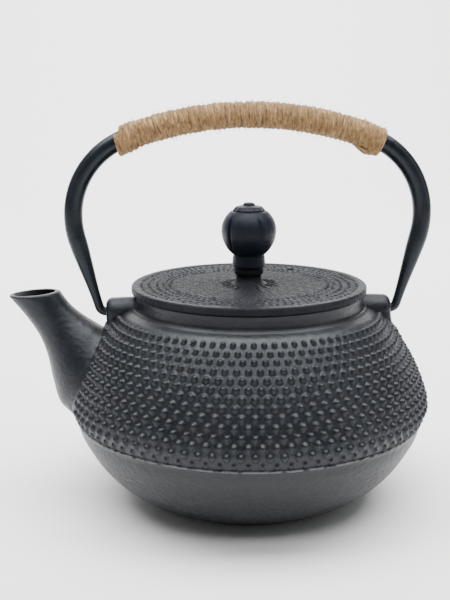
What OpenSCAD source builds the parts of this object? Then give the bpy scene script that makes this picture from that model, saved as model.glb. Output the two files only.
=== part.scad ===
// Cast iron teapot with a hobnail body, a hooked-in swinging bail handle,
// a lift-off lid with a screwed-on ball knob and a lift-out tea infuser.
//
// Millimetres. +Z is up. The origin is the centre of the flat foot, the spout
// points along -X and the handle's pegs turn on an axis parallel to X.
// Cast skins are drawn at the tips of their relief: the raised studs of the
// body and the small dots of the lid lie inside these outlines.

/* [Pot] */
// Radius of the flat foot
foot_r = 44.5; // [40:0.5:50]
// Radius at the widest point, over the studs
belly_r = 82.6; // [80:0.2:86]
// Height of the widest point
belly_z = 45.5; // [44:0.5:48]
// Radius of the raised line below the studs
ridge_r = 80; // [78:0.2:80.6]
// Height of the raised line below the studs
ridge_z = 38; // [36:0.5:39]
// Wall thickness of the casting
wall = 4; // [3:0.2:5]
// Outer radius of the upright neck
neck_r = 51.6; // [51:0.2:52.6]
// Height of the neck's top edge, where the lid rests
rim_z = 95.4; // [95:0.2:97]

/* [Spout] */
// Wall thickness of the spout
spout_wall = 2.2; // [1.8:0.1:3]
// Sides of the spout's cross-section
spout_sides = 40; // [24:4:48]

/* [Lid] */
// Radius of the lid
lid_r = 53.5; // [53:0.5:56]
// Thickness of the lid's plate
lid_t = 3.3; // [3:0.1:4]
// Depth of the skirt that centres the lid
skirt_depth = 5.9; // [4:0.1:7]
// Radius of the steam vent
vent_r = 1.75; // [1:0.05:2.5]

/* [Knob] */
// Widest radius of the knob's ball
ball_r = 12.4; // [11:0.05:13]
// Radius of the knob's screw
screw_r = 2.5; // [2:0.1:3]

/* [Handle] */
// Radius of the bail's bar at its thickest
bail_r = 4.15; // [3.6:0.05:4.4]
// Radius of the pegs that hook into the ears
peg_r = 2; // [1.6:0.05:2.2]
// Gap all round a peg in its ear
peg_gap = 0.05; // [0.02:0.01:0.1]
// Outer radius of the twine wrap
wrap_r = 6.5; // [5.6:0.1:6.8]

/* [Infuser] */
// Outer radius of the basket's wall
basket_r = 38; // [34:0.5:39]
// Height of the basket's underside
basket_z = 26; // [22:1:40]
// Thickness of the steel sheet and of the mesh
sheet = 0.6; // [0.5:0.1:0.8]

/* [Hidden] */
$fn = 96;
eps = 0.01;

iron = "#2b2d30";
steel = "#c9cbcd";
jute = "#c8a573";

// Pot
shoulder_r = 60.4;
shoulder_z = 86;
step_r = 53.3;
step_z = 88.7;
mouth_r = neck_r - 3.6;
ledge_r = 41;
ledge_z = 85.4;
ledge_t = 3;

// Ears
ear_x = 65.2;
ear_r = 6.8;
ear_z = 86.3;
ear_web_z = 70;
ear_corner = 3;
bore_depth = 7.5;

// Bail: a broad top arc, two shoulder arcs, two knee arcs, straight tapering
// legs and small bends into the pegs
top_arc_r = 155;
top_z = 174.3;
top_cz = top_z - top_arc_r;
shoulder_arc_r = 36.9;
shoulder_a = 20.7;
knee_arc_r = 39;
lean_a = 16.2;
shoulder_cx = (top_arc_r - shoulder_arc_r) * sin(shoulder_a);
shoulder_cz = top_cz + (top_arc_r - shoulder_arc_r) * cos(shoulder_a);
widest_x = shoulder_cx + shoulder_arc_r;
knee_cx = widest_x - knee_arc_r;
leg_top = [knee_cx + knee_arc_r * cos(lean_a), shoulder_cz - knee_arc_r * sin(lean_a)];
hook_arc_r = 3.2;
hook_r = peg_r - 0.1;
bail_sides = 24;
leg_end_z = ear_z + hook_arc_r * (1 - sin(lean_a));
leg_end = [leg_top[0] - (leg_top[1] - leg_end_z) * tan(lean_a), leg_end_z];
hook_cx = leg_end[0] - hook_arc_r * cos(lean_a);
peg_x = ear_x - bore_depth + 0.5;

// Wrap: how far down each shoulder arc the twine goes, from the top arc's end
wrap_spout_a = 7;
wrap_far_a = 11;
wrap_gap = 0.1;

// Lid and knob
lid_z = rim_z;
lid_top = lid_z + lid_t;
skirt_r = mouth_r - 0.8;
skirt_t = 2.5;
boss_top = 106.6;
stem_r = 5.8;
stem_foot_r = 7.9;
boss_r = 6.7;
boss_foot_z = 103.2;
edge_round = 0.6;
collar_r = 7.6;
collar_top = 111.6;
ball_z = 123.1;
ball_up = 11.5;
ball_down = 13.4;
cap_r = 7.3;
cap_z = 131.7;
cap_top = 133.9;
button_r = 3.2;
knob_top = 135.7;
vent_at = [23, 34];
screw_hole_r = screw_r + 0.3;
screw_depth = 9;
washer_r = 6;
washer_t = 1;
head_r = 4.4;
head_t = 2.4;
socket_r = 1.6;
socket_depth = 1.4;

// Infuser
rim_r = mouth_r - 1;
rim_drop = 7;
ring_h = 5;

// Foot, bowl, ridge, studded belly, shoulder and step of the pot's outline,
// from the foot outwards and up
function pot_outline() = [
    [foot_r, 0], [foot_r + 2.2, 0.8], [54, 5], [60.2, 9], [66, 14], [71, 20],
    [75.3, 27], [78.3, 33], [ridge_r, ridge_z], [ridge_r + 1.4, ridge_z + 3],
    [belly_r - 0.2, belly_z - 2.5], [belly_r, belly_z], [belly_r - 0.3, belly_z + 2.5],
    [81.1, 51], [80, 54], [78, 60], [75.3, 66], [72, 71.5],
    [67.8, 77], [64, 82], [shoulder_r, shoulder_z], [step_r + 1.2, step_z - 0.6],
    [step_r, step_z], [neck_r, step_z + 0.8], [neck_r, rim_z]];

// Inside of the pot, from the floor outwards and up to the ledge's underside
function cavity_outline() = [
    [foot_r - 3, wall], [53, wall + 4.4], [62, wall + 11], [69, wall + 20],
    [ridge_r - wall, ridge_z], [belly_r - wall, belly_z], [belly_r - wall - 1.5, 52],
    [74.5, 60], [69, 70], [61, 79], [54, ledge_z - ledge_t], [ledge_r, ledge_z - ledge_t]];

// Spout stations from the mouth down to its root inside the belly: centre x,
// centre z, half length in the XZ plane, half width in Y, slope of the section
SPOUT = [[-97.6, 95.4, 11.5, 8.8, 4.3],
         [-91.5, 87.4, 10.4, 9.2, 12],
         [-85.7, 80.2, 11, 10.4, 23.2],
         [-80.5, 73, 13.7, 13.4, 29.2],
         [-75.9, 64.2, 17.1, 17.2, 32.6],
         [-70.7, 55, 19.7, 20, 34.7],
         [-61.2, 46.6, 19, 19, 34.7]];
spout_last = len(SPOUT) - 1;
spout_steps = 4;
channel_max = 11;

// Catmull-Rom value between four neighbours, t from 0 to 1
function blend4(a, b, c, d, t) =
    0.5 * ((2 * b) + (c - a) * t + (2 * a - 5 * b + 4 * c - d) * t * t
           + (3 * b - a - 3 * c + d) * t * t * t);
function station(i) = SPOUT[max(0, min(spout_last, i))];
function spout_at(u) =
    let (i = min(spout_last - 1, floor(u)))
    blend4(station(i - 1), station(i), station(i + 1), station(i + 2), u - i);

// One elliptical ring of the spout; trim takes the wall off, cap limits its size
function spout_ring(s, trim, cap) =
    let (a = min(s[2] - trim, cap), b = min(s[3] - trim, cap - 1))
    [for (k = [0 : spout_sides - 1])
        let (w = -360 * k / spout_sides, p = a * cos(w))
        [s[0] + p * cos(s[4]), b * sin(w), s[1] + p * sin(s[4])]];

// A closed skin over a list of rings with equal point counts; each ring runs
// anticlockwise about the way from the first ring to the last
module skin(rings) {
    n = len(rings[0]);
    last = len(rings) - 1;
    polyhedron(
        points = [for (r = rings) each r],
        faces = concat(
            [[for (k = [0 : n - 1]) k]],
            [for (j = [0 : last - 1], k = [0 : n - 1])
                each [[j * n + k, (j + 1) * n + k, (j + 1) * n + (k + 1) % n],
                      [j * n + k, (j + 1) * n + (k + 1) % n, j * n + (k + 1) % n]]],
            [[for (k = [n - 1 : -1 : 0]) last * n + k]]));
}

// The spout's solid; its mouth is lengthened by extra along the section's normal
module spout_solid(trim, cap, extra) {
    m = SPOUT[0];
    top = [m[0] - extra * sin(m[4]), m[1] + extra * cos(m[4]), m[2], m[3], m[4]];
    steps = spout_last * spout_steps;
    body = [for (j = [0 : steps]) spout_ring(spout_at(j / spout_steps), trim, cap)];
    skin(extra > 0 ? concat([spout_ring(top, trim, cap)], body) : body);
}

// Ear on the far side from the spout: a rounded boss on a web down to the shoulder
module ear() {
    translate([mouth_r + 1, 0, ear_z]) rotate([0, 90, 0])
        cylinder(r = ear_r, h = ear_x - mouth_r - 1 - ear_corner);
    translate([ear_x - ear_corner, 0, ear_z]) rotate([0, 90, 0])
        rotate_extrude() {
            square([ear_r - ear_corner, ear_corner]);
            intersection() {
                translate([ear_r - ear_corner, 0]) circle(r = ear_corner);
                square([ear_r, ear_corner]);
            }
        }
    translate([mouth_r + 1, -ear_r, ear_web_z])
        cube([ear_x - mouth_r - 1 - ear_corner, 2 * ear_r, ear_z - ear_web_z]);
}

module ear_bore() {
    translate([ear_x - bore_depth, 0, ear_z]) rotate([0, 90, 0])
        cylinder(r = peg_r + peg_gap, h = bore_depth + 1);
}

// Pot: one casting with its spout and both ears, open at the top
module pot_body() {
    color(iron) difference() {
        union() {
            rotate_extrude($fn = 180)
                polygon(concat([[0, 0]], pot_outline(), [[0, rim_z]]));
            spout_solid(0, 99, 0);
            ear();
            mirror([1, 0, 0]) ear();
        }
        rotate_extrude($fn = 180)
            polygon(concat([[0, wall]], cavity_outline(),
                           [[ledge_r, ledge_z], [mouth_r, ledge_z],
                            [mouth_r, rim_z + 1], [0, rim_z + 1]]));
        spout_solid(spout_wall, channel_max, 2);
        ear_bore();
        mirror([1, 0, 0]) ear_bore();
    }
}

// Lid: plate, centring skirt and the small pedestal under the knob
module lid() {
    color(iron) difference() {
        rotate_extrude($fn = 180) polygon([
            [0, lid_z], [skirt_r - skirt_t, lid_z], [skirt_r - skirt_t, lid_z - skirt_depth],
            [skirt_r, lid_z - skirt_depth], [skirt_r, lid_z], [lid_r - edge_round, lid_z],
            [lid_r, lid_z + edge_round], [lid_r, lid_top - edge_round],
            [lid_r - edge_round, lid_top], [stem_foot_r, lid_top],
            [stem_r + 0.6, lid_top + 1], [stem_r, lid_top + 2.4],
            [stem_r + 0.3, boss_foot_z], [boss_r, boss_foot_z + 0.4],
            [boss_r, boss_top - 0.3], [boss_r - 0.3, boss_top], [0, boss_top]]);
        translate([0, 0, lid_z - 1]) cylinder(r = screw_hole_r, h = boss_top);
        translate([vent_at[0], vent_at[1], lid_z - 1]) cylinder(r = vent_r, h = lid_t + 2);
    }
}

// Knob: collar, ball, petal cap and button, with the screw's hole from below
module lid_knob() {
    arc = [for (a = [-56 : 8 : 48])
               [ball_r * cos(a), ball_z + (a < 0 ? ball_down : ball_up) * sin(a)]];
    color(iron) difference() {
        rotate_extrude($fn = 120) polygon(concat(
            [[0, boss_top], [collar_r - 0.4, boss_top], [collar_r, boss_top + 0.5],
             [collar_r, collar_top - 0.6], [collar_r - 0.6, collar_top]],
            arc,
            [[cap_r, cap_z], [cap_r - 0.2, cap_z + 1.2], [cap_r - 1.2, cap_top],
             [button_r, cap_top + 0.5], [button_r - 0.2, knob_top - 0.6],
             [button_r - 1, knob_top - 0.1], [0, knob_top]]));
        translate([0, 0, boss_top - eps]) cylinder(r = screw_r, h = screw_depth);
    }
}

// Screw from under the lid up into the knob, pan head below
module knob_screw() {
    head_z = lid_z - washer_t;
    color(steel) {
        translate([0, 0, head_z - eps])
            cylinder(r = screw_r, h = boss_top + screw_depth - 1 - head_z);
        difference() {
            translate([0, 0, head_z - head_t]) cylinder(r = head_r, h = head_t);
            translate([0, 0, head_z - head_t - eps])
                cylinder(r = socket_r, h = socket_depth, $fn = 6);
        }
    }
}

module knob_washer() {
    color(steel) translate([0, 0, lid_z - washer_t]) difference() {
        cylinder(r = washer_r, h = washer_t);
        translate([0, 0, -1]) cylinder(r = screw_r, h = washer_t + 2);
    }
}

// Stations of the bail's centre line on the side away from the spout, from the
// peg up to the middle of the top: x, z, direction of the arc's outside, radius
function arc_stations(cx, cz, arc_r, from_a, to_a, steps) =
    [for (i = [0 : steps])
        let (a = from_a + (to_a - from_a) * i / steps)
        [cx + arc_r * cos(a), cz + arc_r * sin(a), a, bail_r]];
function hook_stations() = concat(
    [[hook_cx - 1, ear_z, -90, hook_r]],
    [for (s = arc_stations(hook_cx, ear_z + hook_arc_r, hook_arc_r, -90, -lean_a, 6))
        [s[0], s[1], s[2], hook_r]]);
function leg_stations() =
    [for (i = [1 : 5]) concat(leg_end + (leg_top - leg_end) * i / 6,
                              [-lean_a, hook_r + (bail_r - hook_r) * i / 6])];
function upper_stations() = concat(
    arc_stations(knee_cx, shoulder_cz, knee_arc_r, -lean_a, 0, 3),
    [for (i = [1 : 12])
        arc_stations(shoulder_cx, shoulder_cz, shoulder_arc_r, 0, 90 - shoulder_a, 12)[i]],
    [for (i = [1 : 5]) arc_stations(0, top_cz, top_arc_r, 90 - shoulder_a, 90, 5)[i]]);
function mirrored(stations) =
    [for (i = [len(stations) - 2 : -1 : 0])
        let (s = stations[i]) [-s[0], s[1], 180 - s[2], s[3]]];
function bar_ring(s, extra) =
    [for (k = [0 : bail_sides - 1])
        let (w = 360 * k / bail_sides, r = s[3] + extra)
        [s[0] + r * cos(w) * cos(s[2]), r * sin(w), s[1] + r * cos(w) * sin(s[2])]];

// Bail: a tapered bar with a straight round peg at each end
module handle_bail() {
    half = concat(hook_stations(), leg_stations(), upper_stations());
    color(iron) {
        skin([for (s = concat(half, mirrored(half))) bar_ring(s, 0)]);
        for (side = [0, 1]) mirror([side, 0, 0])
            translate([peg_x, 0, ear_z]) rotate([0, 90, 0])
                cylinder(r = peg_r, h = hook_cx - peg_x);
    }
}

// Stations of the wrapped stretch: the top arc and part of each shoulder arc
function wrap_end(sweep_a) =
    arc_stations(shoulder_cx, shoulder_cz, shoulder_arc_r, 90 - shoulder_a - sweep_a,
                 90 - shoulder_a, 4);
function wrap_stations() = concat(
    wrap_end(wrap_far_a),
    [for (i = [1 : 11])
        arc_stations(0, top_cz, top_arc_r, 90 - shoulder_a, 90 + shoulder_a, 12)[i]],
    mirrored(concat(wrap_end(wrap_spout_a), [[0, 0, 0, 0]])));
function stretched(stations) =
    let (n = len(stations), a = stations[0], b = stations[n - 1])
    concat([[a[0] + sin(a[2]), a[1] - cos(a[2]), a[2], a[3]]], stations,
           [[b[0] - sin(b[2]), b[1] + cos(b[2]), b[2], b[3]]]);

// Wrap: the sleeve that the close-wound jute twine fills
module handle_wrap() {
    color(jute) difference() {
        skin([for (s = wrap_stations()) bar_ring(s, wrap_r - bail_r)]);
        skin([for (s = stretched(wrap_stations())) bar_ring(s, wrap_gap)]);
    }
}

// Infuser rim: a flat flange on the pot's ledge and a short collar
module infuser_rim() {
    color(steel) rotate_extrude() polygon([
        [basket_r, ledge_z - rim_drop], [basket_r + sheet, ledge_z - rim_drop],
        [basket_r + sheet, ledge_z], [rim_r, ledge_z], [rim_r, ledge_z + sheet],
        [basket_r, ledge_z + sheet]]);
}

// Mesh wall, drawn as a thin tube
module infuser_wall() {
    color(steel) translate([0, 0, basket_z + sheet]) difference() {
        cylinder(r = basket_r, h = ledge_z + sheet - basket_z - sheet);
        translate([0, 0, -1]) cylinder(r = basket_r - sheet, h = ledge_z);
    }
}

// Mesh floor, drawn as a thin disc inside the foot ring
module infuser_floor() {
    color(steel) translate([0, 0, basket_z]) cylinder(r = basket_r - eps, h = sheet);
}

// Rolled band that clamps the mesh floor to the mesh wall
module infuser_foot_ring() {
    color(steel) translate([0, 0, basket_z]) difference() {
        cylinder(r = basket_r + sheet, h = ring_h);
        translate([0, 0, -1]) cylinder(r = basket_r, h = ring_h + 2);
    }
}

pot_body();
lid();
lid_knob();
knob_screw();
knob_washer();
handle_bail();
handle_wrap();
infuser_rim();
infuser_wall();
infuser_floor();
infuser_foot_ring();
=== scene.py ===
import math

import bmesh
import bpy
import numpy as np
from mathutils import Euler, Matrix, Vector
from mathutils.bvhtree import BVHTree

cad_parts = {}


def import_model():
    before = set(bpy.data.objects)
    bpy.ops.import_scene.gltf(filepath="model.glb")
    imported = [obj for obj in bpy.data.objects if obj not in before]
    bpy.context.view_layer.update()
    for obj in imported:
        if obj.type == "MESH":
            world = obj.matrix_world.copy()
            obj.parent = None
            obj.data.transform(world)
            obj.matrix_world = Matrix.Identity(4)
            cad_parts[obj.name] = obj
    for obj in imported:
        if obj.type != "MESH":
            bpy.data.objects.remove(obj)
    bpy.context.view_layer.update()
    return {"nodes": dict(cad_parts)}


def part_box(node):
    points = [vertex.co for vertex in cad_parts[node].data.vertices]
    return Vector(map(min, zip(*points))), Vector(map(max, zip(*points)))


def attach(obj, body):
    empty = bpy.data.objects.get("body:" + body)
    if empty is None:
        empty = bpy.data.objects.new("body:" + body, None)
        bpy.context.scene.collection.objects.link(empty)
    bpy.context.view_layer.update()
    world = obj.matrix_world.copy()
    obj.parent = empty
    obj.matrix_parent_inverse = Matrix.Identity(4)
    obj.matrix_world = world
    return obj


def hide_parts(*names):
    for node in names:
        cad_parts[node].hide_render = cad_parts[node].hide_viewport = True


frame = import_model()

MM = 0.001
rng = np.random.default_rng(11)


def box_mm(node):
    """A CAD node's lowest and highest corner, in millimetres."""
    low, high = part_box(node)
    return np.array(low) / MM, np.array(high) / MM


# Driving sizes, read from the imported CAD
POT_HIGH = box_mm("pot_body")[1]
LID_LOW, LID_HIGH = box_mm("lid")
KNOB_LOW, KNOB_HIGH = box_mm("lid_knob")
BAIL_HIGH = box_mm("handle_bail")[1]
WRAP_HIGH = box_mm("handle_wrap")[1]
BASKET_LOW, BASKET_HIGH = box_mm("infuser_wall")
FLOOR_LOW, FLOOR_HIGH = box_mm("infuser_floor")
BELLY_R = POT_HIGH[1]
LID_R = LID_HIGH[0]
BALL_R = KNOB_HIGH[0]
BAIL_R = BAIL_HIGH[1]

# Heights that the boxes don't show
PIVOT_Z = 86.3         # the bail's pegs
RIM_Z = 95.4           # the pot's rim, which the lid lies on
LID_TOP = 98.7         # the lid's flat top


# ---------------------------------------------------------------- mesh helpers

def smooth_line(points, step):
    """Points about step apart along the Catmull-Rom curve through the given ones."""
    p = np.array(points, float)
    ends = np.vstack([2 * p[0] - p[1], p, 2 * p[-1] - p[-2]])
    t = np.linspace(0, 1, 24, endpoint=False)[:, None]
    spans = []
    for a, b, c, d in zip(ends[:-3], ends[1:-2], ends[2:-1], ends[3:]):
        spans.append(0.5 * (2 * b + (c - a) * t + (2 * a - 5 * b + 4 * c - d) * t ** 2
                            + (3 * b - a - 3 * c + d) * t ** 3))
    dense = np.vstack(spans + [p[-1:]])
    return spaced(dense, step)


def running_length(line):
    """The length along a polyline at each of its points."""
    return np.concatenate([[0], np.cumsum(np.linalg.norm(np.diff(line, axis=0), axis=1))])


def spaced(line, step):
    """The same polyline with its points about step apart."""
    line = np.array(line, float)
    along = running_length(line)
    count = max(2, int(round(along[-1] / step)) + 1)
    at = np.linspace(0, along[-1], count)
    return np.stack([np.interp(at, along, line[:, k]) for k in range(line.shape[1])], -1)


def joined(*lines):
    """Polylines end to end, without repeating the points where they meet."""
    out = [lines[0]]
    for line in lines[1:]:
        same = np.linalg.norm(out[-1][-1] - line[0]) < 1e-6
        out.append(line[1:] if same else line)
    return np.vstack(out)


def arc(centre, radius, from_deg, to_deg, count):
    """Points along an arc, both ends included."""
    a = np.radians(np.linspace(from_deg, to_deg, count))
    return np.stack([centre[0] + radius * np.cos(a), centre[1] + radius * np.sin(a)], -1)


def circle_angles(count):
    """Evenly spaced angles once round a circle, in radians."""
    return np.arange(count) * 2 * np.pi / count


def lathe(outline, columns):
    """Rings of points, rows by columns, for an outline of (radius, z) pairs."""
    a = circle_angles(columns)
    r, z = outline[:, 0][:, None], outline[:, 1][:, None]
    return np.stack([r * np.cos(a), r * np.sin(a), z + 0 * a], -1)


def polar(rings):
    """Distance from the Z axis and angle round it, for each point of some rings."""
    return np.hypot(rings[..., 0], rings[..., 1]), np.arctan2(rings[..., 1], rings[..., 0])


def ring_normals(rings):
    """Unit normals of a rings grid, pointing away from the tube's inside."""
    along = np.gradient(rings, axis=0)
    around = np.roll(rings, -1, 1) - np.roll(rings, 1, 1)
    n = np.cross(around, along)
    return n / np.maximum(np.linalg.norm(n, axis=-1, keepdims=True), 1e-9)


def ring_faces(rows, columns, closed_rows=False):
    """Four-sided faces between neighbouring rings, and from last to first if closed."""
    last = rows if closed_rows else rows - 1
    j = np.arange(last)[:, None] * columns
    k = np.arange(columns)
    a = j + k
    b = j + (k + 1) % columns
    up = (j + columns) % (rows * columns)
    return np.stack([a, b, up + (k + 1) % columns, up + k], -1).reshape(-1, 4)


def tube_solid(rings):
    """Vertices and faces of a closed skin over rings, with a fan at each end."""
    rows, columns = rings.shape[:2]
    verts = np.vstack([rings.reshape(-1, 3), rings[0].mean(0), rings[-1].mean(0)])
    faces = ring_faces(rows, columns).tolist()
    first, last = rows * columns, rows * columns + 1
    top = (rows - 1) * columns
    for k in range(columns):
        n = (k + 1) % columns
        faces.append((first, n, k))
        faces.append((last, top + k, top + n))
    return verts, faces


def merged(parts):
    """One vertex array and face list from several."""
    verts, faces, base = [], [], 0
    for v, f in parts:
        verts.append(v)
        faces.extend([tuple(i + base for i in face) for face in f])
        base += len(v)
    return np.vstack(verts), faces


def make_mesh(name, verts, faces):
    """A new object from millimetre vertices, with its normals turned outwards."""
    mesh = bpy.data.meshes.new(name)
    mesh.from_pydata((np.asarray(verts) * MM).tolist(), [], faces)
    bm = bmesh.new()
    bm.from_mesh(mesh)
    bmesh.ops.recalc_face_normals(bm, faces=bm.faces)
    bm.to_mesh(mesh)
    bm.free()
    mesh.polygons.foreach_set("use_smooth", [True] * len(mesh.polygons))
    piece = bpy.data.objects.new(name, mesh)
    bpy.context.scene.collection.objects.link(piece)
    return piece


def make_piece(piece, body, slot, material, *nodes):
    """Dresses a finished object, hangs it under its body and hides the CAD nodes it replaces."""
    piece.data.materials.clear()
    piece.data.materials.append(material)
    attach(piece, body)
    if nodes:
        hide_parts(*nodes)
    return piece


def combine(target, operation, *tools):
    """Applies a boolean of each tool to the target and removes the tools."""
    for tool in tools:
        mod = target.modifiers.new("bool", "BOOLEAN")
        mod.operation = operation
        mod.solver = "MANIFOLD"
        mod.object = tool
        apply_modifiers(target)
        bpy.data.objects.remove(tool)


def apply_modifiers(piece):
    """Replaces the mesh with the one that its modifiers make."""
    graph = bpy.context.evaluated_depsgraph_get()
    mesh = bpy.data.meshes.new_from_object(piece.evaluated_get(graph))
    piece.modifiers.clear()
    old = piece.data
    piece.data = mesh
    bpy.data.meshes.remove(old)


def smooth_by_angle(piece, degrees):
    """Smooth shading, with edges sharper than the angle left crisp."""
    mesh = piece.data
    bm = bmesh.new()
    bm.from_mesh(mesh)
    limit = math.radians(degrees)
    for face in bm.faces:
        face.smooth = True
    for edge in bm.edges:
        edge.smooth = len(edge.link_faces) != 2 or edge.calc_face_angle(0) < limit
    bm.to_mesh(mesh)
    bm.free()


def rise(x):
    """Smooth step from 0 to 1."""
    x = np.clip(x, 0, 1)
    return x * x * (3 - 2 * x)


# ---------------------------------------------------------------- materials

class Nodes:
    """A short way to add and join the nodes of one material."""

    def __init__(self, name):
        self.material = bpy.data.materials.new(name)
        self.material.use_nodes = True
        self.tree = self.material.node_tree
        self.surface = self.tree.nodes["Principled BSDF"]

    def add(self, kind, settings=None, **inputs):
        node = self.tree.nodes.new(kind)
        for key, value in (settings or {}).items():
            setattr(node, key, value)
        for key, value in inputs.items():
            self.put(node, key.replace("_", " "), value)
        return node

    def put(self, node, socket, value):
        target = node.inputs[int(socket)] if socket.isdigit() else node.inputs[socket]
        if isinstance(value, bpy.types.NodeSocket):
            self.tree.links.new(value, target)
        else:
            target.default_value = value

    def place(self, scale=(1, 1, 1)):
        """Object coordinates in millimetres times scale."""
        coords = self.add("ShaderNodeTexCoord").outputs["Object"]
        factor = [s / MM for s in scale]
        return self.add("ShaderNodeMapping", Vector=coords, Scale=factor).outputs[0]

    def noise(self, where, scale, detail=3.0, rough=0.5):
        return self.add("ShaderNodeTexNoise", Vector=where, Scale=scale, Detail=detail,
                        Roughness=rough).outputs["Fac"]

    def ramp(self, value, stops):
        node = self.add("ShaderNodeValToRGB", Fac=value)
        ramp = node.color_ramp
        while len(ramp.elements) < len(stops):
            ramp.elements.new(0.5)
        for element, (at, colour) in zip(ramp.elements, stops):
            element.position = at
            element.color = (*colour, 1)
        return node.outputs["Color"]

    def span(self, value, low, high, to_low, to_high):
        node = self.add("ShaderNodeMapRange")
        for key, v in zip(("Value", "From Min", "From Max", "To Min", "To Max"),
                          (value, low, high, to_low, to_high)):
            self.put(node, key, v)
        return node.outputs["Result"]

    def mix(self, factor, a, b, how="MIX"):
        node = self.add("ShaderNodeMix", {"data_type": "RGBA", "blend_type": how})
        for socket, value in ((0, factor), (6, a), (7, b)):
            if isinstance(value, bpy.types.NodeSocket):
                self.tree.links.new(value, node.inputs[socket])
            else:
                node.inputs[socket].default_value = (*value, 1) if socket else value
        return node.outputs[2]

    def maths(self, how, a, b=0.0):
        node = self.add("ShaderNodeMath", {"operation": how})
        self.put(node, "0", a)
        self.put(node, "1", b)
        return node.outputs[0]

    def bump(self, height, depth_mm, normal=None, strength=1.0):
        node = self.add("ShaderNodeBump", Height=height, Strength=strength,
                        Distance=depth_mm * MM)
        if normal is not None:
            self.put(node, "Normal", normal)
        return node.outputs["Normal"]

    def finish(self, **values):
        for key, value in values.items():
            self.put(self.surface, key.replace("_", " "), value)
        return self.material


def cast_iron(name, dark, light, rough, grain, depth, shine, ior=1.5, bowl_top=None):
    """Black-coated sand-cast iron: pebbled grain, soft mottling, and a painted highlight on pointed
    tips.

    The pot gives bowl_top, its ridge's height in millimetres, for the skin below it and for a
    painted highlight along the ridge's top.
    """
    n = Nodes(name)
    where = n.place()
    mottle = n.noise(where, 0.06, 4.0, 0.6)
    fine = n.noise(where, grain, 3.0, 0.6)
    pebble = n.add("ShaderNodeTexVoronoi", {"feature": "SMOOTH_F1"}, Vector=where,
                   Scale=grain * 0.8, Smoothness=0.6, Randomness=1.0).outputs["Distance"]
    specks = n.noise(where, grain * 3.2, 2.0, 0.7)
    colour = n.ramp(mottle, [(0.32, dark), (0.68, light)])
    dust = n.span(specks, 0.66, 0.82, 0.0, 0.3)
    colour = n.mix(dust, colour, tuple(c * 2.2 for c in light))
    # Painted highlight: pointed tips, such as the studs' crests, are lightened in the colour
    tip_pointiness = n.add("ShaderNodeNewGeometry").outputs["Pointiness"]
    tip_highlight = n.span(tip_pointiness, 0.54, 0.7, 0.0, 0.16)
    colour = n.mix(tip_highlight, colour, tuple(c * 2.0 for c in light))
    height = n.maths("ADD", n.maths("MULTIPLY", pebble, 0.6), n.maths("MULTIPLY", fine, 0.9))
    if bowl_top:
        # The plain bowl below the ridge has the coarser, leathery mould skin
        tall = n.add("ShaderNodeSeparateXYZ", Vector=n.place()).outputs["Z"]
        below = n.span(tall, bowl_top, bowl_top - 3.0, 0.0, 1.0)
        coarse = n.noise(n.place((1, 1, 1.6)), 0.3, 3.0, 0.55)
        leather = n.maths("MULTIPLY", n.maths("MULTIPLY", coarse, below), 2.6)
        height = n.maths("ADD", height, leather)
        warm = tuple(c * k for c, k in zip(light, (1.2, 1.1, 0.9)))
        colour = n.mix(n.maths("MULTIPLY", below, 0.7), colour, warm)
        # Painted highlight: the narrow top of the ridge is painted light grey in broken patches, for
        # the catch-light along its edge
        on_ridge = n.maths("MULTIPLY", n.span(tall, bowl_top - 0.2, bowl_top + 0.05, 0.0, 1.0),
                           n.span(tall, bowl_top + 0.75, bowl_top + 0.55, 0.0, 1.0))
        highlight_breaks = n.span(n.noise(where, 0.33, 1.0, 0.4), 0.4, 0.5, 0.15, 0.85)
        colour = n.mix(n.maths("MULTIPLY", on_ridge, highlight_breaks), colour, (0.17, 0.17, 0.175))
    normal = n.bump(height, depth)
    normal = n.bump(specks, depth * 0.22, normal)
    roughness = n.span(fine, 0.3, 0.7, rough - 0.07, rough + 0.08)
    return n.finish(Base_Color=colour, Roughness=roughness, Normal=normal,
                    Specular_IOR_Level=shine, Specular_Tint=(0.91, 0.95, 1.0, 1), IOR=ior)


def painted_bar():
    """Smooth black enamel on the bail, with faint orange peel and handling marks."""
    n = Nodes("bail_black")
    where = n.place()
    patches = n.noise(where, 0.11, 4.0, 0.65)
    peel = n.noise(where, 1.3, 2.0, 0.5)
    colour = n.ramp(patches, [(0.35, (0.004, 0.005, 0.007)), (0.7, (0.009, 0.011, 0.015))])
    scuff = n.span(n.noise(where, 0.9, 6.0, 0.75), 0.7, 0.8, 0.0, 0.3)
    colour = n.mix(scuff, colour, (0.06, 0.06, 0.065))
    roughness = n.span(patches, 0.3, 0.7, 0.24, 0.38)
    return n.finish(Base_Color=colour, Roughness=roughness, Normal=n.bump(peel, 0.05),
                    Specular_IOR_Level=0.28, Specular_Tint=(0.82, 0.91, 1.0, 1))


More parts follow.
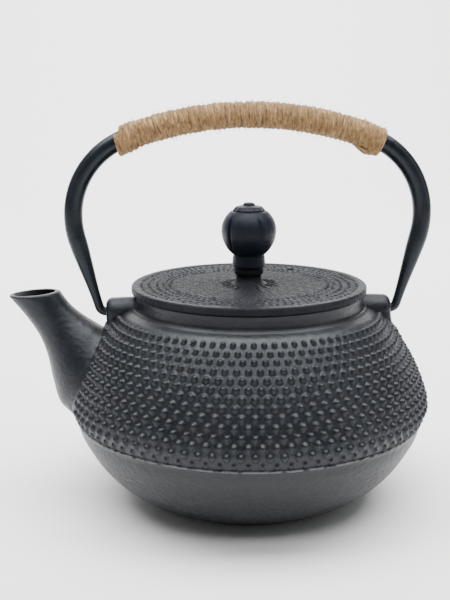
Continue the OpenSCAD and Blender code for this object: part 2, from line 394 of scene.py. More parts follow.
def jute(name, lighter=1.0):
    """Natural jute: streaks along the twine, and painted shade darkening the valleys between the
    plies.
    """
    n = Nodes(name)
    uv = n.add("ShaderNodeTexCoord").outputs["UV"]
    along = n.add("ShaderNodeMapping", Vector=uv, Scale=(0.11, 2.6, 1.0)).outputs[0]
    fibres = n.noise(along, 2.4, 5.0, 0.75)
    where = n.place()
    patches = n.noise(where, 0.3, 3.0, 0.6)
    stops = [(0.38, (0.075, 0.036, 0.011)), (0.5, (0.26, 0.148, 0.055)),
             (0.64, (0.50, 0.33, 0.15))]
    stops = [(at, tuple(min(1, c * lighter) for c in col)) for at, col in stops]
    colour = n.ramp(fibres, stops)
    tone = n.ramp(patches, [(0.3, (0.78, 0.74, 0.68)), (0.7, (1.0, 1.0, 1.0))])
    colour = n.mix(0.8, colour, tone, "MULTIPLY")
    # Painted shade: the valleys between the plies are darkened in the colour
    tips = n.add("ShaderNodeNewGeometry").outputs["Pointiness"]
    valley_shade = n.ramp(n.span(tips, 0.42, 0.53, 0.0, 1.0),
                    [(0.0, (0.42, 0.34, 0.26)), (1.0, (1.0, 1.0, 1.0))])
    colour = n.mix(0.9, colour, valley_shade, "MULTIPLY")
    normal = n.bump(fibres, 0.25)
    return n.finish(Base_Color=colour, Roughness=0.88, Normal=normal, Sheen_Weight=0.12,
                    Sheen_Roughness=0.5)


def bright_steel(name, base, rough, stretch):
    """Brushed stainless or zinc, with fine lines stretched along one way."""
    n = Nodes(name)
    lines = n.noise(n.place(stretch), 2.2, 3.0, 0.6)
    stain = n.noise(n.place(), 0.09, 3.0, 0.6)
    colour = n.ramp(stain, [(0.3, tuple(c * 0.86 for c in base)), (0.7, base)])
    roughness = n.span(lines, 0.3, 0.7, rough - 0.08, rough + 0.12)
    return n.finish(Base_Color=colour, Metallic=1.0, Roughness=roughness,
                    Normal=n.bump(lines, 0.02))


# ---------------------------------------------------------------- pot

STUD_COLUMNS = 90
STUD_ROWS = 14
STUD_PITCH = 3.8       # between rows, along the skin
STUD_TOP_Z = 84.9      # height of the first row
STUD_H = 1.5
STUD_HALF_WIDTHS = (1.15, 1.55)
STUD_DOME = 0.62       # power of the dome's outline: 0.5 is an ellipsoid
LAST_ROW_SIZE = 0.75   # the row on the ridge is smaller
RIDGE_R, RIDGE_Z = 80.1, 38.9
NECK_R = 51.6
MOUTH_R = NECK_R - 3.6
LEDGE_R = 41.0
LEDGE_Z = 85.4
WALL = 4.0
POT_COLUMNS = STUD_COLUMNS * 10

# Spout stations from the mouth to the root: centre x and z, half length in the
# XZ plane, half width in Y, slope of the section in degrees
SPOUT = [(-97.6, 95.4, 11.5, 8.8, 4.3),
         (-91.5, 87.4, 10.4, 9.2, 12),
         (-85.7, 80.2, 11, 10.4, 23.2),
         (-80.5, 73, 13.7, 13.4, 29.2),
         (-75.9, 64.2, 17.1, 17.2, 32.6),
         (-70.7, 55, 19.7, 20, 34.7),
         (-61.2, 46.6, 19, 19, 34.7)]
SPOUT_WALL = 2.2
CHANNEL_CAP = 11.0     # largest half length of the channel
CHANNEL_LIP = 0.3      # how far the channel flares at the mouth

EAR_IN_X, EAR_OUT_X = 49.6, 65.2
EAR_R, EAR_CORNER = 6.8, 3.0
EAR_DEPTH = 15.5       # from the pivot down to the ear's lowest point
BORE_R = 2.05
BORE_XS = (57.1, 66.0)
SPOUT_BLEND, EAR_BLEND = 4.5, 7.0


def pot_skin_outline():
    """The skin between the studs, from the foot's centre up to the rim's centre."""
    belly = BELLY_R - STUD_H
    foot = joined(spaced([(0, 0), (43.4, 0)], 14.5), arc((43.4, 2.2), 2.2, -90, -48, 5))
    bowl = smooth_line([foot[-1], (53.6, 5), (60.0, 9.3), (65.9, 14.4), (71.0, 20.4),
                        (75.3, 27.4), (78.2, 33.2), (RIDGE_R - 0.9, RIDGE_Z - 1.5)], 1.7)
    lip = joined(bowl[-1:], arc((RIDGE_R - 0.6, RIDGE_Z), 0.6, -50, 70, 8),
                 smooth_line([(RIDGE_R - 0.6, RIDGE_Z + 0.75), (RIDGE_R - 0.45, RIDGE_Z + 1.1),
                              (RIDGE_R - 0.2, RIDGE_Z + 1.8)], 0.3))
    studded = smooth_line([lip[-1], (belly - 0.55, 43), (belly, 45.8), (belly - 0.5, 49.2),
                           (79.4, 53), (77.6, 57.8), (75.4, 62.6), (72.8, 67.4),
                           (69.8, 72), (66.3, 76.8), (62.8, 81.2), (60.2, 84.2),
                           (57.4, 86.7), (54.6, 88.1)], 0.5)
    neck = joined(studded[-1:], arc((52.9, 88.5), 0.75, 10, 150, 7),
                  smooth_line([(NECK_R + 0.15, 89.4), (NECK_R, 90.6), (NECK_R, 93.2)], 0.6),
                  arc((NECK_R - 0.45, RIM_Z - 0.9), 0.9, 0, 90, 6))
    top = spaced([neck[-1], (0, RIM_Z)], 13)
    return joined(foot, bowl, lip, studded, neck, top)


def stud_heights(rings, below):
    """How far the studs stand proud; below is the way down the skin from row one."""
    r, angle = polar(rings)
    step = 2 * np.pi / STUD_COLUMNS
    height = np.zeros(r.shape)
    for row in range(STUD_ROWS):
        centre = STUD_PITCH * row
        size = LAST_ROW_SIZE if row == STUD_ROWS - 1 else 1.0
        near = np.abs(below - centre) < 3.2
        if not near.any():
            continue
        v = (below[near] - centre)[:, None]
        turn = angle[near] / step - 0.5 * (row % 2)
        u = (turn - np.round(turn)) * step * r[near]
        narrow = 1 - 0.16 * np.clip(v / 2.4, -1, 1)
        wide = np.clip(0.285 * step * r[near], *STUD_HALF_WIDTHS) * size * narrow
        # Lower rows are drawn out downwards, like drops
        tall = np.where(v > 0, 1.3 + 1.2 * row / STUD_ROWS, 1.2 + 0.3 * row / STUD_ROWS) * size
        q = 1 - (u / wide) ** 2 - (v / tall) ** 2
        dome = np.where(q > 0, np.abs(q), 0) ** STUD_DOME
        height[near] = np.maximum(height[near], STUD_H * size * dome)
    return height


def spout_line(trim=0.0, cap=99.0, lip=0.0, steps=54):
    """Rings of the spout from the mouth down.

    The channel's rings come from trim, which takes the wall off, cap, which limits
    the half length, and lip, which flares the mouth.
    """
    stations = smooth_line(SPOUT, 1.0)
    count = len(stations)
    at = np.concatenate([[0, 0.15, 0.4, 0.8], np.linspace(1.6, count - 1, steps - 4)])
    s = np.stack([np.interp(at, np.arange(count), stations[:, k]) for k in range(5)], -1)
    a = np.minimum(s[:, 2] - trim, cap)
    b = np.minimum(s[:, 3] - trim, cap - 1)
    # The outer skin has no trim: its edge at the mouth is rounded over instead
    edge = lip * np.exp(-at / 1.3) if trim else -0.7 * np.clip(1 - at / 0.8, 0, 1) ** 2
    a, b = a + edge, b + edge
    w = -circle_angles(72)
    slope = np.radians(s[:, 4])[:, None]
    p, q = a[:, None] * np.cos(w), b[:, None] * np.sin(w)
    x = s[:, 0, None] + p * np.cos(slope)
    z = s[:, 1, None] + p * np.sin(slope)
    return np.stack([x, q, z], -1)


def ear_rings(side):
    """Rings of one ear from inside the neck to its outer face, side +1 or -1."""
    flat_end = EAR_OUT_X - EAR_CORNER
    xs = np.concatenate([np.linspace(EAR_IN_X, flat_end, 18),
                         flat_end + EAR_CORNER * np.sin(np.linspace(0.15, np.pi / 2, 8))])
    rings = []
    for x in xs:
        past = max(0, x - EAR_OUT_X + EAR_CORNER)
        inset = EAR_CORNER - math.sqrt(max(EAR_CORNER ** 2 - past ** 2, 0))
        rad = EAR_R - inset - 0.5 * (x - EAR_IN_X) / (EAR_OUT_X - EAR_IN_X)
        top = [(rad * math.cos(a), rad * math.sin(a)) for a in np.linspace(0, np.pi, 25)]
        depth = EAR_DEPTH - inset * 0.4
        left = [(-rad - 1.6 * t * t, -depth * t) for t in np.linspace(0.08, 1, 12)]
        right = [(rad + 1.6 * t * t, -depth * t) for t in np.linspace(1, 0.08, 12)]
        rings.append([(side * x, y, PIVOT_Z + z) for y, z in top + left + right])
    return np.array(rings)


def fillet_push(points, normals, tree, reach):
    """Moves points just outside another skin outwards, so that the two skins blend."""
    flat, nrm = points.reshape(-1, 3), normals.reshape(-1, 3)
    moved = flat.copy()
    for i, p in enumerate(flat):
        hit = tree.find_nearest(Vector(p), reach)
        if hit[0] is None or (Vector(p) - hit[0]).dot(hit[1]) < 0:
            continue
        gap = reach - hit[3]
        moved[i] = p + nrm[i] * gap * gap / (4 * reach)
    return moved.reshape(points.shape)


def bvh_of(rings):
    """A search tree over the closed skin of some rings."""
    verts, faces = tube_solid(rings)
    return BVHTree.FromPolygons([Vector(v) for v in verts], faces)


def distance_field(points, trees, reach):
    """Distance from each point to the nearest of some skins, up to reach."""
    flat = points.reshape(-1, 3)
    out = np.full(len(flat), float(reach))
    for tree in trees:
        for i, p in enumerate(flat):
            hit = tree.find_nearest(Vector(p), reach)
            if hit[0] is not None:
                out[i] = min(out[i], hit[3])
    return out.reshape(points.shape[:-1])


def pot_cavity():
    """The solid that hollows the pot: bowl, ledge and mouth."""
    low = smooth_line([(41.5, WALL), (53, 8.4), (62, 15), (69, 24), (76, 38), (78.4, 45.5),
                       (77, 52), (74.3, 60), (69, 70), (61, 79), (54, 82.4)], 2.5)
    outline = joined(spaced([(0, WALL), (41.5, WALL)], 20), low,
                     np.array([(LEDGE_R + 0.5, 82.4), (LEDGE_R, 82.9), (LEDGE_R, 84.9),
                               (LEDGE_R + 0.5, LEDGE_Z), (MOUTH_R - 0.4, LEDGE_Z),
                               (MOUTH_R, LEDGE_Z + 0.4), (MOUTH_R, 90), (MOUTH_R, 94.6),
                               (MOUTH_R + 0.25, 95.1), (MOUTH_R + 0.7, RIM_Z),
                               (MOUTH_R + 0.7, RIM_Z + 2), (0, RIM_Z + 2)]))
    rings = lathe(outline[1:-1], 240)
    return make_mesh("pot_cavity", *tube_solid(rings))


def pot_body():
    """The pot in one piece: studded wall, spout, ears, cavity, channel and bores."""
    outline = pot_skin_outline()
    rings = lathe(outline[1:-1], POT_COLUMNS)
    normals = ring_normals(rings)
    spout = spout_line()
    ears = [ear_rings(1), ear_rings(-1)]
    trees = [bvh_of(spout), bvh_of(ears[0]), bvh_of(ears[1])]

    # Only the skin near the spout and the ears needs the slow nearest-point search
    z = rings[..., 2]
    x, y = rings[..., 0], rings[..., 1]
    close = (z > 30) & (z < 90) & (np.abs(y) < 34) & (np.abs(x) > 46)
    push = np.zeros(z.shape)
    fade = np.ones(z.shape)
    picked = rings[close]
    spout_gap = distance_field(picked, trees[:1], EAR_BLEND)
    ear_gap = distance_field(picked, trees[1:], EAR_BLEND)
    under_ear = rise((87 - picked[:, 2]) / 9)
    spout_push = np.clip(SPOUT_BLEND - spout_gap, 0, None) ** 2 / 18
    ear_push = under_ear * (EAR_BLEND - ear_gap) ** 2 / 28
    push[close] = np.maximum(spout_push, ear_push)
    # The studs fade out where the spout and the ears grow from the wall
    fade[close] = rise((np.minimum(spout_gap, ear_gap + 1.5) - 0.6) / 3.4)

    down = running_length(outline)[1:-1]
    heights_z = outline[1:-1, 1]
    belly_rows = (heights_z > 36) & (outline[1:-1, 0] > 56)
    start = np.interp(STUD_TOP_Z, heights_z[belly_rows], down[belly_rows])
    below = np.where(belly_rows, start - down, 1e3)
    relief = stud_heights(rings, below) * fade
    skin = rings + normals * (relief + push)[..., None]

    pot = make_mesh("pot_body_cast", *tube_solid(skin))
    base_tree = bvh_of(rings[::3, ::8])
    spout_skin = fillet_push(spout, ring_normals(spout), base_tree, SPOUT_BLEND)
    tools = [make_mesh("spout_skin", *tube_solid(spout_skin))]
    for ear in ears:
        flared = fillet_push(ear, ring_normals(ear), base_tree, EAR_BLEND)
        lower = rise((PIVOT_Z + 2 - ear[..., 2]) / 14)[..., None]
        body = ear + (flared - ear) * lower
        tools.append(make_mesh("ear_skin", *tube_solid(body)))
    combine(pot, "UNION", *tools)

    channel = spout_line(SPOUT_WALL, CHANNEL_CAP, CHANNEL_LIP)
    up = channel[:1] + np.array([-0.15, 0, 2.0])
    cuts = [pot_cavity(), make_mesh("channel", *tube_solid(np.vstack([up, channel])))]
    for side in (1, -1):
        bore = [[(side * x, BORE_R * math.cos(t), PIVOT_Z + BORE_R * math.sin(t))
                 for t in circle_angles(32)] for x in BORE_XS]
        cuts.append(make_mesh("peg_hole", *tube_solid(np.array(bore))))
    combine(pot, "DIFFERENCE", *cuts)
    smooth_by_angle(pot, 50)
    return pot


# ---------------------------------------------------------------- lid and knob

BALL_Z, BALL_UP, BALL_DOWN = 123.1, 11.5, 13.4
DOT_RINGS = (0.914, 0.85, 0.787, 0.724, 0.675)
DOT_R, DOT_H = 0.95, 0.38
PETALS = 22
VENT_X, VENT_Y, VENT_R = 23, 34, 1.75
KNOB_LOBES = 5


def lid():
    """The lid: dotted and hammered top, petalled seat, pedestal, skirt and vent."""
    r = LID_R
    rim = joined(arc((r - 0.7, LID_TOP - 2.6), 0.7, -90, 0, 5),
                 arc((r - 0.9, LID_TOP - 0.9), 0.9, 0, 90, 6))
    top = spaced([rim[-1], (8.2, LID_TOP)], 0.42)
    stem = smooth_line([(8.2, LID_TOP), (7.2, LID_TOP + 0.35), (6.3, LID_TOP + 1.3),
                        (5.75, LID_TOP + 2.8), (5.85, 102.9), (6.15, 103.3)], 0.35)
    collar = joined(arc((6.25, 103.75), 0.4, -90, 0, 4),
                    arc((6.3, LID_HIGH[2] - 0.35), 0.35, 0, 90, 4),
                    np.array([(5.0, LID_HIGH[2]), (2.8, LID_HIGH[2])]))
    bore = spaced([(2.8, LID_HIGH[2]), (2.8, RIM_Z)], 2.5)
    skirt_z = LID_LOW[2] + 0.5
    under = joined(spaced([(2.8, RIM_Z), (44.2, RIM_Z)], 5),
                   arc((44.2, RIM_Z - 0.5), 0.5, 90, 0, 3), np.array([(44.7, skirt_z)]),
                   arc((45.2, skirt_z), 0.5, 180, 270, 4), arc((46.7, skirt_z), 0.5, -90, 0, 4),
                   np.array([(47.2, RIM_Z - 0.3), (47.5, RIM_Z)]),
                   np.array([(r - 1.2, RIM_Z), rim[0]]))
    outline = joined(rim, top, stem, collar, bore, under)[:-1]
    columns = STUD_COLUMNS * 8
    rings = lathe(outline, columns)
    rad, angle = polar(rings)
    on_top = np.zeros(len(outline), bool)
    on_top[len(rim) - 1:len(rim) + len(top) - 2] = True
    lift = np.zeros(rad.shape)
    for k, share in enumerate(DOT_RINGS):
        centre = share * r
        step = 2 * np.pi / STUD_COLUMNS
        turn = angle / step - 0.38 * k
        u = (turn - np.round(turn)) * step * centre
        q = 1 - (u / DOT_R) ** 2 - ((rad - centre) / DOT_R) ** 2
        lift = np.maximum(lift, DOT_H * np.where(q > 0, np.abs(q), 0) ** 0.8)
    ring_line = 0.22 * np.exp(-((rad - 0.64 * r) / 0.45) ** 2)
    x, y = rings[..., 0], rings[..., 1]
    hammered = (np.sin(2.1 * x + 1.3 * np.sin(1.7 * y))
                * np.sin(2.3 * y + 1.2 * np.sin(1.5 * x + 1)))
    # The hammered field with the dots is sunk a little inside the plain rim band
    inside = 0.945 * r - rad
    field = -0.35 * rise(inside / 0.8) + 0.16 * hammered * rise(inside / 1.5)
    petal = 0.5 + 0.5 * np.cos((angle + 0.02 * (rad - 7)) * PETALS)
    seat = (0.2 + 0.6 * petal) * rise((rad - 6.2) / 1.6) * rise((15.6 - rad) / 4.6)
    lift = lift + field + ring_line + seat
    rings[..., 2] += np.where(on_top[:, None], lift, 0)
    faces = ring_faces(len(outline), columns, closed_rows=True).tolist()
    piece = make_mesh("lid_cast", rings.reshape(-1, 3), faces)
    vent = [[(VENT_X + VENT_R * math.cos(t), VENT_Y + VENT_R * math.sin(t), z)
             for t in circle_angles(32)] for z in (90.0, 101.0)]
    combine(piece, "DIFFERENCE", make_mesh("vent_hole", *tube_solid(np.array(vent))))
    smooth_by_angle(piece, 48)
    return piece


def knob():
    """The ball knob with its collar, lobes, scalloped cap and button."""
    low, high = KNOB_LOW[2], KNOB_HIGH[2]
    collar = joined(np.array([(2.5, low), (6.9, low)]), arc((7.15, low + 0.45), 0.45, -90, 10, 5),
                    smooth_line([(7.55, 107.3), (7.4, 109.6), (7.3, 111.0)], 0.5),
                    arc((6.9, 111.15), 0.4, 0, 90, 4))
    ball = [(BALL_R * math.cos(a), BALL_Z + (BALL_UP if a > 0 else BALL_DOWN) * math.sin(a))
            for a in np.radians(np.arange(-56, 48, 1.7))]
    cap = joined(np.array([(7.3, 131.75)]), arc((6.95, 132.25), 0.3, -30, 60, 4),
                 smooth_line([(6.7, 132.9), (6.1, 133.6), (5.2, 133.95), (3.4, 134.25)], 0.35),
                 smooth_line([(2.75, 134.45), (2.65, 134.9), (2.0, 135.4), (0.8, high - 0.05)], 0.3))
    outline = np.vstack([collar, ball, cap])
    rings = lathe(outline, 280)
    rad, angle = polar(rings)
    z = rings[..., 2]
    # Petal-shaped lobes, parted by a pointed groove with one steep side
    lobe = 2 * np.pi / KNOB_LOBES
    turn = (angle - math.radians(-70.4)) / lobe
    across = (turn - np.round(turn)) * lobe * BALL_R
    level = (z - BALL_Z) / BALL_UP
    reach = 2.4 * rise((0.80 - level) / 0.7) * rise((level + 1.0) / 0.9)
    slope = np.clip(1 - across / np.maximum(reach, 0.05), 0, 1)
    groove = np.where(across < 0, rise(1 + across / 0.3), slope)
    on_ball = (z > 112.2) & (z < 131.6)
    depth = np.where(on_ball, 1.05 * groove * np.clip(reach / 1.6, 0, 1), 0)
    seam = np.where(on_ball, 0.1 * np.exp(-((z - BALL_Z + 0.4) / 0.25) ** 2), 0)
    on_cap = (z > 131.7) & (z < 134.2) & (rad > 3)
    notch = 1 - np.abs(np.cos(angle * 4)) ** 0.6
    scallop = np.where(on_cap, 0.55 * notch * rise((rad - 4.2) / 2.4), 0)
    change = (seam - depth - scallop) / np.maximum(rad, 1e-6)
    rings[..., 0] *= 1 + change
    rings[..., 1] *= 1 + change
    piece = make_mesh("lid_knob_cast", *tube_solid(rings))
    smooth_by_angle(piece, 42)
    return piece


# ---------------------------------------------------------------- handle

TOP_ARC_R, TOP_Z = 155.0, 174.3
SHOULDER_R, SHOULDER_A = 36.9, 20.7
KNEE_R, LEAN = 39.0, 16.2
HOOK_R, PEG_R = 3.2, 2.0
WRAP_SPOUT_A, WRAP_FAR_A = 7.0, 11.0
TWINE_PITCH = 2.25
TWINE_R = 1.22
TWINE_LAY = 6.5        # length of one turn of the plies
TURN_STEPS = 44        # points in each turn round the bar
FUZZ_COUNT = 1400


def bail_line():
    """Half the bail's centre line, peg to top, as x, z, outward angle and radius."""
    top_cz = TOP_Z - TOP_ARC_R
    reach = TOP_ARC_R - SHOULDER_R
    shoulder_x = reach * math.sin(math.radians(SHOULDER_A))
    shoulder_z = top_cz + reach * math.cos(math.radians(SHOULDER_A))
    knee_x = shoulder_x + SHOULDER_R - KNEE_R
    lean = math.radians(LEAN)
    leg_top = np.array([knee_x + KNEE_R * math.cos(lean), shoulder_z - KNEE_R * math.sin(lean)])
    end_z = PIVOT_Z + HOOK_R * (1 - math.sin(lean))
    leg_end = np.array([leg_top[0] - (leg_top[1] - end_z) * math.tan(lean), end_z])
    hook_x = leg_end[0] - HOOK_R * math.cos(lean)
    rows = [(57.6, PIVOT_Z, -90, PEG_R - 0.5), (57.9, PIVOT_Z, -90, PEG_R),
            (61, PIVOT_Z, -90, PEG_R)]

    def bend(cx, cz, radius, start, stop, count, thick):
        for t in np.linspace(0, 1, count):
            a = start + (stop - start) * t
            x = cx + radius * math.cos(math.radians(a))
            z = cz + radius * math.sin(math.radians(a))
            rows.append((x, z, a, thick(t)))

    slim = PEG_R + 0.08
    bend(hook_x, PIVOT_Z + HOOK_R, HOOK_R, -90, -LEAN, 12, lambda t: PEG_R + 0.08 * t)
    for t in np.linspace(0, 1, 26)[1:-1]:
        x, z = leg_end + (leg_top - leg_end) * t
        rows.append((x, z, -LEAN, slim + (BAIL_R - slim) * rise(t * 0.86 + 0.07 * t * t)))
    bend(knee_x, shoulder_z, KNEE_R, -LEAN, 0, 10, lambda t: BAIL_R)
    bend(shoulder_x, shoulder_z, SHOULDER_R, 3, 90 - SHOULDER_A, 34, lambda t: BAIL_R)
    bend(0, top_cz, TOP_ARC_R, 91 - SHOULDER_A, 90, 24, lambda t: BAIL_R)
    return np.array(rows)


def bail_stations():
    """Centre line of the whole bail, from the far peg over the top to the spout's peg."""
    half = bail_line()
    other = half[-2::-1] * np.array([-1, 1, -1, 1]) + np.array([0, 0, 180, 0])
    return np.vstack([half, other])


def bail_rings(stations, sides):
    """Rings of the bar at each station."""
    w = circle_angles(sides)
    a = np.radians(stations[:, 2])[:, None]
    r = stations[:, 3][:, None]
    return np.stack([stations[:, 0, None] + r * np.cos(w) * np.cos(a), r * np.sin(w),
                     stations[:, 1, None] + r * np.cos(w) * np.sin(a)], -1)


def bail():
    """The bare bar with its two pegs."""
    rings = bail_rings(bail_stations(), 48)
    piece = make_mesh("handle_bail_bar", *tube_solid(rings))
    smooth_by_angle(piece, 50)
    return piece


def wrap_span():
    """The bail's running length and stations, and where the twine starts and stops."""
    s = bail_stations()
    along = running_length(s[:, :2])
    top = np.argmax(s[:, 1])
    half = math.radians(SHOULDER_A) * TOP_ARC_R
    start = along[top] - half - math.radians(WRAP_FAR_A) * SHOULDER_R
    stop = along[top] + half + math.radians(WRAP_SPOUT_A) * SHOULDER_R
    return along, s, start, stop


def centre_at(along, s, where):
    """The bail's centre x, z and outward angle at some running lengths."""
    x, z, a = [np.interp(where, along, s[:, k]) for k in range(3)]
    return x, z, np.radians(a)


def twine_tube(path, radius, twist_mm, sides=14, plies=3, flat=(1.0, 1.0), out=None):
    """A laid twine along a path: a tube whose plies turn as it goes.

    flat scales the section outwards and sideways, and out is the outward direction.
    """
    path = np.array(path)
    tangent = np.gradient(path, axis=0)
    tangent /= np.linalg.norm(tangent, axis=1, keepdims=True)
    along = running_length(path)
    if out is None:
        hint = np.array([0.0, 0.0, 1.0])
        n = np.zeros(path.shape)
        for i, t in enumerate(tangent):
            hint = hint - t * hint.dot(t)
            hint /= max(np.linalg.norm(hint), 1e-9)
            n[i] = hint
    else:
        n = out - tangent * (out * tangent).sum(1, keepdims=True)
        n /= np.linalg.norm(n, axis=1, keepdims=True)
    b = np.cross(tangent, n)
    w = circle_angles(sides)
    phase = along[:, None] / twist_mm * 2 * np.pi
    section = 1 - 0.13 * (1 - np.abs(np.cos((w - phase) * plies / 2)))
    r = np.broadcast_to(np.asarray(radius, float).reshape(-1, 1), section.shape) * section
    rings = (path[:, None] + n[:, None] * (flat[0] * r * np.cos(w))[..., None]
             + b[:, None] * (flat[1] * r * np.sin(w))[..., None])
    return rings, along


def add_uv(piece, lengths, around):
    """UV: running length along the twine in millimetres, and a turn around it."""
    mesh = piece.data
    layer = mesh.uv_layers.new(name="along")
    index = np.zeros(len(mesh.loops), np.int32)
    mesh.loops.foreach_get("vertex_index", index)
    uv = np.zeros((len(index), 2))
    uv[:, 0] = lengths[index]
    uv[:, 1] = around[index]
    layer.data.foreach_set("uv", uv.ravel())


def wrap_path():
    """The twine's centre line, its way out from the bar, and its thickness."""
    along, s, start, stop = wrap_span()
    turns = (stop - start - 2 * TWINE_R) / TWINE_PITCH
    t = np.linspace(0, turns, int(turns * TURN_STEPS))
    whole = np.arange(int(turns) + 3)
    shift, lift, girth, slant = [np.interp(t, whole, rng.normal(0, wide, len(whole)))
                                 for wide in (0.17, 0.09, 0.07, 0.22)]
    w = 2 * np.pi * t
    far_end, spout_end = np.exp(-(t / 4.5) ** 4), np.exp(-((turns - t) / 4.0) ** 4)
    under = (0.5 - 0.5 * np.cos(w)) ** 2
    # The first turns stand off the bar below, and the last ones all round
    reach = BAIL_R + 0.92 + lift + under * (1.25 * far_end + 0.75 * spout_end)
    reach += (1 - under) * 0.3 * spout_end
    where = start + TWINE_R + t * TWINE_PITCH + shift + slant * np.sin(w + 0.7)
    where += 1.7 * (1 - np.cos(w)) * spout_end - 1.7 * spout_end
    # The first half turn thins out and slips in under its neighbour
    first = 1 - rise(t / 0.6)
    where += 1.9 * first
    reach -= 0.55 * first
    x, z, a = centre_at(along, s, where)
    out = np.stack([np.cos(w) * np.cos(a), np.sin(w), np.cos(w) * np.sin(a)], -1)
    path = np.stack([x, 0 * x, z], -1) + out * reach[:, None]
    return path, out, TWINE_R * (1 + girth) * (1 - 0.75 * first)


def end_knot(path, out):
    """A loop of twine under the first five turns, at the far end of the wrap."""
    a = np.linspace(0, 1, 60)[:, None]
    lowest = TURN_STEPS // 2
    first, inner = path[lowest], path[lowest + TURN_STEPS * 5]
    down = out[lowest]
    side = np.array([0.0, 1.0, 0.0])
    sag = down * (1.15 * np.sin(np.pi * a))
    sway = side * (2.6 * np.sin(2.4 * np.pi * a) - 1.2)
    line = first + (inner - first) * a + sag + sway
    thick = 1.15 * np.sin(np.pi * np.clip(a[:, 0], 0.06, 0.94)) ** 0.3
    return twine_tube(line, thick, TWINE_LAY, 12)


def twine_object(name, rings, length):
    """A twine's mesh, with the UV that its material reads."""
    sides = rings.shape[1]
    piece = make_mesh(name, *tube_solid(rings))
    lengths = np.concatenate([np.repeat(length, sides), [0, length[-1]]])
    around = np.concatenate([np.tile(np.arange(sides) / sides, len(rings)), [0, 0]])
    add_uv(piece, lengths, around)
    return piece


def fuzz(path, out, count):
    """Loose fibres standing off the twine, as thin three-sided hairs."""
    parts = []
    for i in rng.integers(40, len(path) - 40, count):
        t = path[i + 1] - path[i - 1]
        t /= np.linalg.norm(t)
        away = out[i]
        line = [path[i] + away * 0.8]
        direction = t * rng.choice([-1, 1]) * 0.8 + rng.normal(0, 0.35, 3)
        direction += away * rng.uniform(0.05, 0.45)
        direction /= np.linalg.norm(direction)
        size = rng.uniform(0.5, 1.15)
        for bend in range(3):
            line.append(line[-1] + direction * size)
            direction = direction + rng.normal(0, 0.3, 3) - away * 0.12
            direction /= np.linalg.norm(direction)
        line = np.array(line)
        line[:, 2] = np.minimum(line[:, 2], WRAP_HIGH[2] - 0.1)
        rings = twine_tube(line, np.array([0.075, 0.065, 0.05, 0.02]), 50, 3, 1)[0]
        parts.append(tube_solid(rings))
    return merged(parts)


# ---------------------------------------------------------------- infuser

WIRE = 0.16
WIRE_PITCH = 1.15


def ring_wire(radius, z, segments, thick):
    """A four-sided wire bent into a level ring."""
    rings = []
    for t in circle_angles(segments):
        c, d = math.cos(t), math.sin(t)
        rings.append([((radius + dr) * c, (radius + dr) * d, z + dz)
                      for dr, dz in ((thick, 0), (0, thick), (-thick, 0), (0, -thick))])
    rings = np.array(rings)
    return rings.reshape(-1, 3), [tuple(f) for f in ring_faces(segments, 4, closed_rows=True)]


def straight_wire(a, b, thick):
    """A four-sided wire between two points."""
    a, b = np.array(a, float), np.array(b, float)
    t = (b - a) / np.linalg.norm(b - a)
    hint = np.array([0, 0, 1.0]) if abs(t[2]) < 0.9 else np.array([1.0, 0, 0])
    n = np.cross(t, hint)
    n /= np.linalg.norm(n)
    m = np.cross(t, n)
    rings = np.array([[p + n * thick, p + m * thick, p - n * thick, p - m * thick] for p in (a, b)])
    return tube_solid(rings)


def mesh_wall():
    """Level rings with upright wires inside them."""
    r = BASKET_HIGH[0] - 2 * WIRE
    low, high = BASKET_LOW[2], BASKET_HIGH[2] - 1
    parts = []
    rows = int((high - low) / WIRE_PITCH)
    for k in range(rows):
        parts.append(ring_wire(r, low + (k + 0.5) * WIRE_PITCH, 120, WIRE))
    columns = int(2 * math.pi * r / WIRE_PITCH)
    for k in range(columns):
        a = 2 * math.pi * k / columns
        inner = r - WIRE * 0.8
        x, y = inner * math.cos(a), inner * math.sin(a)
        parts.append(straight_wire((x, y, low), (x, y, high), WIRE))
    return make_mesh("infuser_mesh_wall", *merged(parts))


def mesh_floor():
    """Two layers of wires, crossing at right angles."""
    r = FLOOR_HIGH[0] - 0.3
    z = (FLOOR_LOW[2] + FLOOR_HIGH[2]) / 2
    parts = []
    count = int(r / WIRE_PITCH)
    for k in range(-count, count + 1):
        c = k * WIRE_PITCH
        half = math.sqrt(max(r * r - c * c, 1))
        parts.append(straight_wire((c, -half, z + WIRE * 0.7), (c, half, z + WIRE * 0.7), WIRE))
        parts.append(straight_wire((-half, c, z - WIRE * 0.7), (half, c, z - WIRE * 0.7), WIRE))
    return make_mesh("infuser_mesh_floor", *merged(parts))


# ---------------------------------------------------------------- assembly

iron_pot = cast_iron("cast_iron_pot", (0.005, 0.006, 0.009), (0.010, 0.011, 0.014),
                     rough=0.4, grain=0.55, depth=0.16, shine=0.32, bowl_top=RIDGE_Z)
iron_lid = cast_iron("cast_iron_lid", (0.011, 0.012, 0.015), (0.020, 0.021, 0.024),
                     rough=0.4, grain=0.55, depth=0.3, shine=0.4, ior=1.12)
iron_knob = cast_iron("cast_iron_knob", (0.004, 0.006, 0.011), (0.008, 0.011, 0.018),
                      rough=0.44, grain=0.8, depth=0.05, shine=0.2)
twine = jute("jute_twine")
hair = jute("jute_fibre", 1.3)

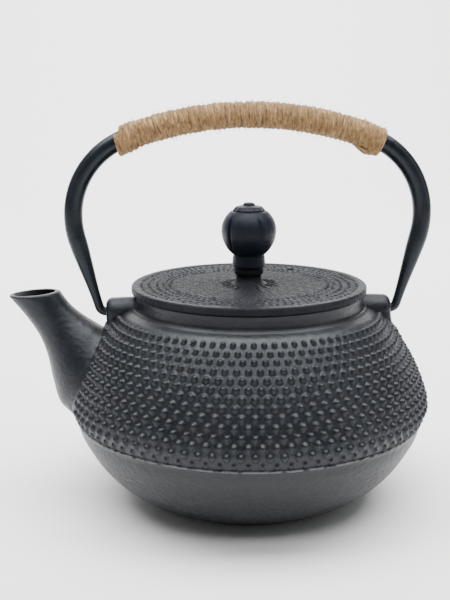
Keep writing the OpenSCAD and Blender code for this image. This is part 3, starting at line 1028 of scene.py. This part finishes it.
make_piece(pot_body(), "pot", "cast_iron_body", iron_pot, "pot_body")
make_piece(lid(), "lid", "cast_iron_lid", iron_lid, "lid")
make_piece(knob(), "lid", "cast_iron_knob", iron_knob, "lid_knob")
make_piece(bail(), "handle", "black_steel", painted_bar(), "handle_bail")
path, away, girth = wrap_path()
rings, length = twine_tube(path, girth, TWINE_LAY, 12, 3, (0.74, 1.16), away)
print("twine length mm", round(length[-1]))
winding = twine_object("handle_wrap_twine", rings, length)
make_piece(winding, "handle", "jute_twine", twine, "handle_wrap")
knot = twine_object("handle_wrap_knot", *end_knot(path, away))
make_piece(knot, "handle", "jute_twine", twine, "handle_wrap")
fibres = make_mesh("handle_wrap_fuzz", *fuzz(path, away, FUZZ_COUNT))
make_piece(fibres, "handle", "jute_twine", hair, "handle_wrap")
steel_mesh = bright_steel("stainless_wire", (0.66, 0.66, 0.65), 0.3, (1, 1, 1))
make_piece(mesh_wall(), "infuser", "stainless_mesh", steel_mesh, "infuser_wall")
make_piece(mesh_floor(), "infuser", "stainless_mesh", steel_mesh, "infuser_floor")

sheet_steel = bright_steel("stainless_sheet", (0.70, 0.70, 0.69), 0.27, (0.25, 0.25, 6))
zinc = bright_steel("zinc_plate", (0.60, 0.60, 0.57), 0.34, (1, 1, 1))
for node in ("infuser_rim", "infuser_foot_ring"):
    frame["nodes"][node].data.materials.clear()
    frame["nodes"][node].data.materials.append(sheet_steel)
for node in ("knob_screw", "knob_washer"):
    frame["nodes"][node].data.materials.clear()
    frame["nodes"][node].data.materials.append(zinc)


# ---------------------------------------------------------------- stage

SWEEP_HALF = 9000.0    # how far the floor reaches to each side and to the front


def sweep():
    """White floor that curves up into a backdrop behind the pot."""
    back = joined(np.array([(-SWEEP_HALF, 0.0), (900.0, 0.0)]), arc((900, 700), 700, -90, 0, 24),
                  np.array([(1600.0, 2600.0)]))
    verts = [(x, y, z) for y, z in back for x in (-SWEEP_HALF, SWEEP_HALF)]
    faces = [(2 * k, 2 * k + 1, 2 * k + 3, 2 * k + 2) for k in range(len(back) - 1)]
    ground = make_mesh("studio_sweep", verts, faces)
    n = Nodes("paper_white")
    grain = n.noise(n.place(), 0.5, 2.0, 0.5)
    ground.data.materials.append(n.finish(Base_Color=(0.92, 0.92, 0.92, 1), Roughness=0.8,
                                          Normal=n.bump(grain, 0.02)))


def area_light(name, place, aim, size, power):
    """A white rectangular light, in metres and watts, turned towards a point."""
    data = bpy.data.lights.new(name, "AREA")
    data.shape = "RECTANGLE"
    data.size, data.size_y = size
    data.energy = power
    lamp = bpy.data.objects.new(name, data)
    bpy.context.scene.collection.objects.link(lamp)
    lamp.location = place
    lamp.rotation_euler = (Vector(aim) - Vector(place)).to_track_quat("-Z", "Y").to_euler()


def world():
    """Faint, slightly cool light from all round."""
    scene = bpy.context.scene
    scene.world = bpy.data.worlds.new("studio")
    scene.world.use_nodes = True
    back = scene.world.node_tree.nodes["Background"]
    back.inputs["Color"].default_value = (0.94, 0.96, 1.0, 1)
    back.inputs["Strength"].default_value = 0.12


def camera():
    """Stands in front of the pot, a little above it, looking slightly down."""
    data = bpy.data.cameras.new("view")
    data.sensor_width = 36
    data.lens = 57.84
    cam = bpy.data.objects.new("view", data)
    bpy.context.scene.collection.objects.link(cam)
    cam.location = (-0.0302, -0.4316, 0.1852)
    tilt, pan, roll = math.radians(90 - 12.32), math.radians(-2.56), math.radians(-0.19)
    turned = Euler((tilt, 0, pan)).to_matrix() @ Euler((0, 0, roll)).to_matrix()
    cam.rotation_euler = turned.to_euler()
    bpy.context.scene.camera = cam


sweep()
world()
area_light("softbox_top", (0.0, 0.0, 1.1), (0, 0.02, 0.05), (1.9, 0.7), 46)
area_light("softbox_front", (0.05, -0.6, 0.9), (0, 0, 0.04), (0.8, 0.3), 5)
area_light("backdrop_wash", (0.0, 0.7, 1.2), (0, 1.6, 0.5), (2.0, 0.6), 54)
area_light("fill_left", (-1.0, -0.3, 0.5), (0, 0, 0.08), (0.3, 0.8), 0.8)
area_light("fill_right", (1.0, -0.3, 0.5), (0, 0, 0.08), (0.3, 0.8), 1.6)
camera()
